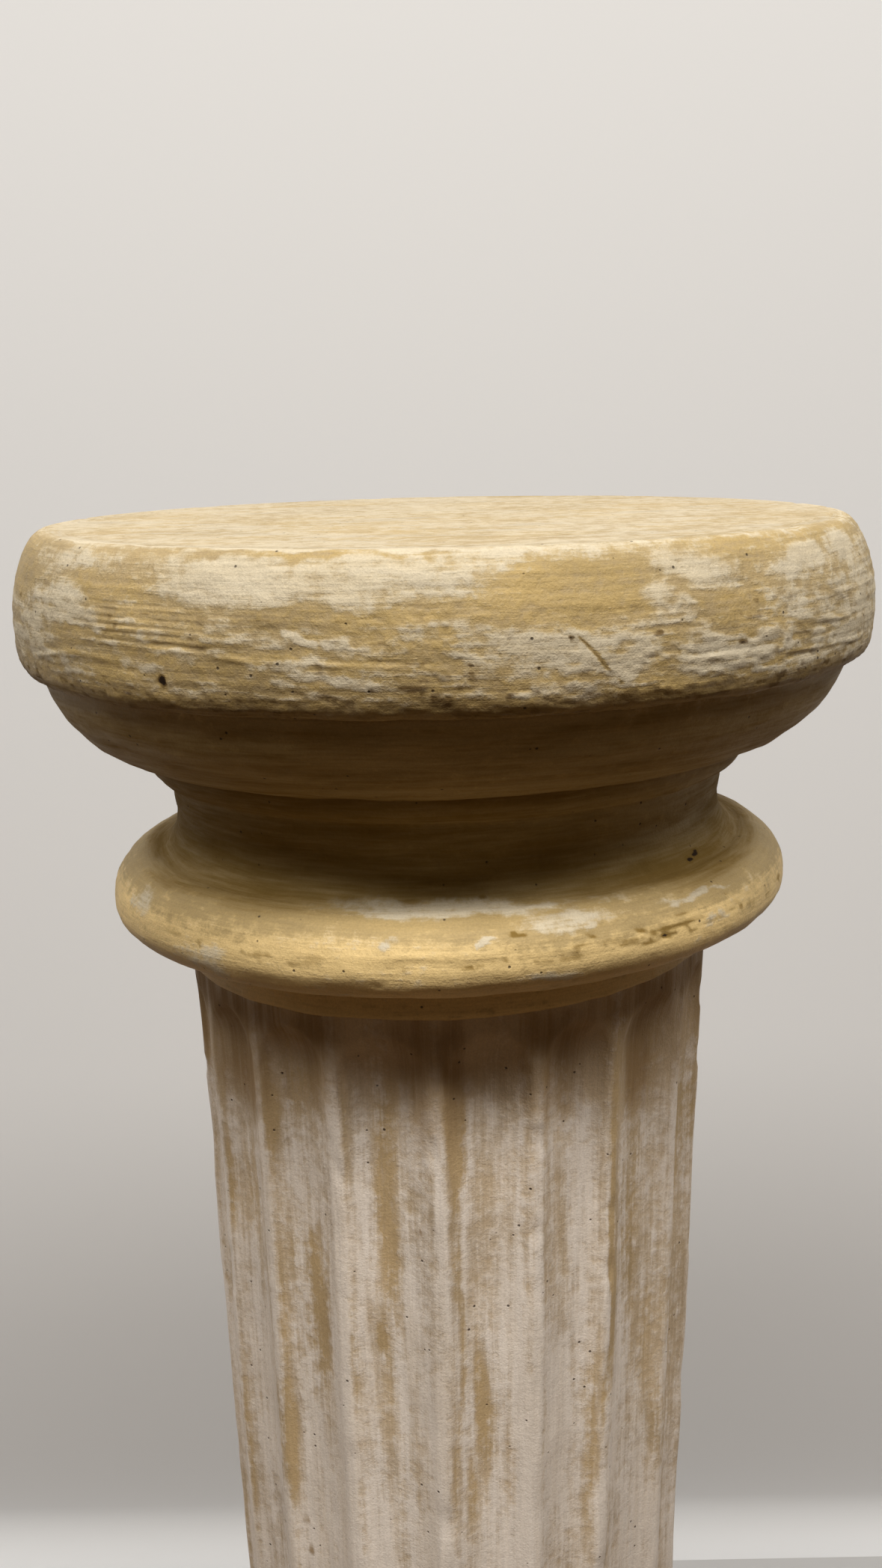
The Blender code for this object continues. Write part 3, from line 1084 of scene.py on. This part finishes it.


# Off-white patches on the slab; the first row is a painted highlight along the front of the rim.
SLAB_CHALK_AND_HIGHLIGHT = dabs(
    (-25, -0.5, 50, 2.5, 0.6), (-13.5, 11, 43, 15, 0.75, 0.03), (6.5, 4, 3.5, 3.5, 0.8),
    (29, 10, 12, 11, 0.8, 0.35), (24, 19.5, 4.5, 9, 0.7), (46, 10.5, 12, 7, 0.8), (58, 8.5, 7, 11, 0.8),
    (52.5, 20.5, 5.5, 7, 0.6), (-55, 27, 15, 25, 0.55), (-56, 8, 18, 10, 0.45), (-46, 24, 10, 12, 0.35),
    (15, 31, 12, 12, 0.35), (43, 22, 12, 12, 0.3), (-12, 39, 10, 3, 0.4), (-30, 27, 24, 8, 0.25),
    (-36, 36, 6.5, 6, 0.7), (-29.5, 33, 8, 3, 0.55), (-15, 28, 2, 2.2, 0.8), (-12, 28, 2, 2.2, 0.8),
    (5, 29.5, 15, 13, 0.4), (20, 35, 4.5, 14, 0.75), (31, 36, 11, 12, 0.6), (42, 33, 3, 3, 0.6),
    (52, 31, 3, 3, 0.6), (2, 23, 3, 3, 0.5), (-42, 15, 15, 6, -0.6), (-50.5, 28.5, 11, 6, -0.4),
    (-15, 21.5, 21, 5, -0.5), (-18, 2.5, 30, 3.5, -0.4), (13.5, 14, 17, 12, -0.7),
    (33.5, 22.5, 13, 10, -0.6), (50, 21, 20, 10, -0.4), (54, 28, 24, 30, 0.35),
    (90, 12, 40, 13, 0.8, 0.05), (128, 30, 22, 12, 0.7), (165, 9, 30, 10, 0.8),
    (-160, 32, 34, 12, 0.7, 0.04), (-125, 12, 36, 14, 0.8), (-90, 30, 18, 14, 0.7),
    (76, 28, 14, 12, 0.7),
)
SLAB_DIRT = dabs(
    (1, 41, 22, 8, 0.35), (-32.2, 40, 0.6, 2.8, 2.6), (-20.5, 20.5, 2.4, 2.0, 0.9),
    (33.2, 29.5, 1.4, 1.8, 2.2), (2.5, 33, 1.2, 1.8, 2.0), (-2.5, 39.5, 3.4, 1.5, 1.1),
    (3, 37, 5, 1.3, 0.7), (13, 26.5, 0.8, 1.2, 1.7), (22.5, 26.5, 0.9, 1.2, 1.7),
)
COMBED = (19.6, 21.4, 23.6, 25.6, 28)
SLAB_SCORES = scores(
    *((-47, s, -27, s + 0.5, 1.3, -0.5, 0.25) for s in COMBED),
    *((-45, s + 0.9, -26, s + 1.4, 1.2, 0.35) for s in COMBED),
    (-50, 29.2, 0, 33.4, 1.3, -0.55, 0.3), (-50, 30.4, 0, 34.6, 1.3, 0.45),
    (-62, 40.5, -50, 35.6, 1.3, 0.45), (-50, 35.6, -39, 35.8, 1.3, 0.45),
    (-62, 39.2, -50, 34.4, 1.2, -0.35, 0.2),
    *((25, s, 45, s + 0.3, 1.2, -0.42, 0.2) for s in (15.6, 17.4, 19.4)),
    *((20, s, 36, s, 1.2, -0.22, 0.1) for s in (22, 24.5, 27)),
    (43, 30, 56, 30.4, 1.4, 0.5), (43, 31.4, 56, 31.8, 1.2, -0.4, 0.2), (38, 38, 62, 38.8, 1.3, 0.5),
    (38, 39.4, 62, 40.2, 1.2, -0.45, 0.25), (-8, 40.6, 12, 41.4, 1.4, -0.35, 0.35),
    (13.5, 26, 15.3, 31, 1.2, -0.1, 1.2), (15.3, 31, 17, 36.5, 1.3, -0.1, 1.3),
    (17, 36.5, 19, 41.5, 1.3, -0.1, 1.3), (-32.8, 38.8, -32.6, 41.2, 2.0, -0.9, 4.0),
)
SLAB_CRUSTS = dabs(
    (31, 35, 20, 16), (20, 33, 10, 18, 0.7), (-15, 26, 34, 14, 0.7), (-2, 24, 12, 14, 0.6),
    (44, 32, 14, 14, 0.7), (52, 20, 8, 8, 0.8), (-40, 22, 20, 8, 0.4), (0, 45, 130, 7, 0.5),
    (5, 12, 130, 18, 0.22), (150, 30, 60, 16, 0.6), (-120, 26, 50, 18, 0.5), (100, 34, 24, 14, 0.6),
)
COLLAR_CHALK = dabs(
    (-1, 147.5, 48, 11, 1.3, 0.06), (18, 158, 14, 8), (-9.5, 163, 2.0, 2.4, 1.0, -0.8),
    (6, 163.5, 3.0, 2.2, 1.0, -0.4), (22, 163, 3.8, 2.0, 1.0, -0.3), (-59, 161.5, 10, 10, 0.9),
    (-41, 173.5, 11, 11, 0.8), (15, 175, 12, 6, 0.95), (43.5, 159, 16, 2.4, 1.0, 0.06),
    (43, 167, 6, 3, 0.9), (20, 201, 16, 9, 0.8), (-50, 190, 24, 8, 0.6), (110, 158, 30, 9, 0.9),
    (-130, 150, 40, 9, 0.9, 0.05), (165, 166, 24, 8, 0.8), (-95, 172, 18, 8, 0.7),
)
COLLAR_DIRT = dabs(
    (52, 143, 2.4, 2, 1.4), (50, 144, 1.4, 1.6, 1.4), (6, 144, 1, 1.4, 0.9), (10.5, 161.5, 1, 1.6, 1.3),
    (30, 165, 24, 9, 0.4), (50, 152, 24, 20, 0.3), (42, 118, 40, 34, -0.35),
    (-1, 148, 44, 10, -0.6, 0.06),
)
LONG_CRACKS = (
    (-16, 168.5, 9, 0.6), (-4, 170.5, 7, -0.8), (4, 168, 10, 1.2), (12, 171, 12, -0.9), (17, 166.5, 9, 0.9),
    (24, 170, 10, -1.4), (30, 166, 9, 0.7), (36, 163.5, 10, -0.6), (38, 169, 14, -1.5), (46, 165, 9, 0.8),
)
SHORT_CRACKS = (
    (20, 163.5), (24, 167.2), (28, 164.4), (32.5, 168), (-12, 174), (-24, 171), (47, 161), (41, 172),
)
COLLAR_SCORES = scores(
    *((a, s, a + w, s + d, 0.9, -0.35, 1.0) for a, s, w, d in LONG_CRACKS),
    *((a, s, a + 2, s + 1.2, 1.4, -0.5, 1.2) for a, s in SHORT_CRACKS),
    (-12, 166.4, 8, 167.2, 1.6, 0.35), (-15, 166.6, -8, 168.4, 1.4, 0.3),
    (-8, 168.4, 8, 169, 1.4, -0.35, 0.25), (8, 168.6, 20, 167.2, 1.2, 0.25),
)
SHAFT_CHALK = dabs(
    (-6, 307, 7, 110, 0.35), (14, 302, 3, 100, 0.35), (30, 197, 4, 8, 0.5), (-18.5, 281, 2.5, 6, 0.6),
    (43, 252, 3, 30, 0.4), (-31, 220, 12, 60, 0.3),
)
SHAFT_OCHRE = dabs(
    (-15, 212, 7, 70, 0.7, 1.5), (-37, 260, 14, 150, 0.25), (-14, 300, 9, 160, 0.25),
    (17, 220, 30, 80, 0.15), (-73, 300, 12, 300, 0.45), (76, 300, 12, 300, 0.3), (0, 196, 5, 40, 0.7),
    (-1, 260, 2, 150, 0.5), (-42, 196, 4.5, 22, 0.5), (-34.5, 266, 8, 62, 0.6),
    (-44.5, 325, 3.5, 44, 0.6), (-64.5, 342, 9, 68, 0.5), (-61.5, 233, 13, 42, 0.4),
    (6, 297, 4.5, 44, 0.7, 3.0), (3.5, 335, 3.5, 34, 0.5), (36, 258, 2.4, 160),
    (54, 260, 34, 220, 0.3), (32, 320, 4.5, 85, 0.6), (43, 251, 4.5, 60, 0.4), (60, 275, 7, 44, 0.4),
    (67.5, 220, 16, 40, 0.5), (59, 338, 9, 38, 0.4), (-18.5, 273, 3.5, 10, 0.8),
)
# Brown on the shaft: the scalloped painted shadow of the torus, deepest in the flutes and running round the
# back, painted shade under the band, then a few stain lines and spots.
SHAFT_SHADOW_AND_STAIN = dabs(
    (-53, 184, 14, 52, 0.6), (-30, 174, 11, 44, 0.6), (-4, 179, 17, 54, 0.85), (21, 177, 17, 50, 0.7),
    (46, 186, 12, 54, 0.55), (64, 190, 14, 60, 0.4), (-70, 190, 12, 80, 0.4), (84, 176, 14, 50, 0.9),
    (-90, 174, 14, 48, 0.9), (140, 168, 60, 34, 0.5), (-150, 168, 60, 36, 0.5), (0, 158, 360, 14, 0.35),
    (-41.5, 308, 1.2, 11, 0.9), (-41.5, 359, 1.8, 5), (-39, 371, 1.6, 4, 1.6),
    (-9, 230, 1.2, 2.4),
)


def main() -> None:
    """Build the column, then the studio round it."""
    logging.basicConfig(level=logging.INFO, format="%(name)s %(message)s")
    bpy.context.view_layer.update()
    effects = Effects()
    round_paint = PaintedCasting("painted_slab", Stroke.ROUND)
    collar_paint = PaintedCasting(
        "painted_collar",
        Stroke.ROUND,
        ground=(0.455, 0.335, 0.15),
        # Bright ochre, partly painted light on the lit lower torus and band.
        ochre=(0.74, 0.55, 0.255),
        # Dark saturated brown that serves as painted shade in the neck under the slab.
        dirt_and_shade=(0.20, 0.12, 0.024),
        crust=1.5,
        rough=0.58,
    )
    shaft_paint = PaintedCasting(
        "painted_shaft",
        Stroke.DOWN,
        ground=(0.58, 0.46, 0.32),
        ochre=(0.54, 0.40, 0.225),
        chalk=(0.84, 0.765, 0.69),
        # Warm brown that serves as the painted shadow under the torus and in the flute walls, and as
        # stains.
        dirt_and_shade=(0.32, 0.21, 0.105),
        chalk_soft=0.5,
        crust=0.8,
    )
    foot_paint = PaintedCasting("painted_foot", Stroke.ROUND)
    slab_marks = {"chalk": SLAB_CHALK_AND_HIGHLIGHT, "dirt_and_shade": SLAB_DIRT, "scores": SLAB_SCORES, "crusts": SLAB_CRUSTS}
    collar_marks = {"chalk": COLLAR_CHALK, "dirt_and_shade": COLLAR_DIRT, "scores": COLLAR_SCORES}
    shaft_marks = {"chalk": SHAFT_CHALK, "ochre": SHAFT_OCHRE, "dirt_and_shade": SHAFT_SHADOW_AND_STAIN}
    pieces = (
        Slab("slab", 49, 16, round_paint, **slab_marks),
        Collar("collar", 48, 12, collar_paint, **collar_marks),
        Shaft("shaft", 45, 12, shaft_paint, gather=0.2, wander=(10.0, 10.0, 55.0), **shaft_marks),
        Foot("foot", 48, 10, foot_paint, gather=0.1),
    )
    for piece in pieces:
        piece.build(effects)
    stage = Stage()
    stage.backdrop()
    stage.lights()
    stage.camera()
    bpy.context.scene.view_settings.view_transform = "Standard"


if __name__ == "__main__":
    main()
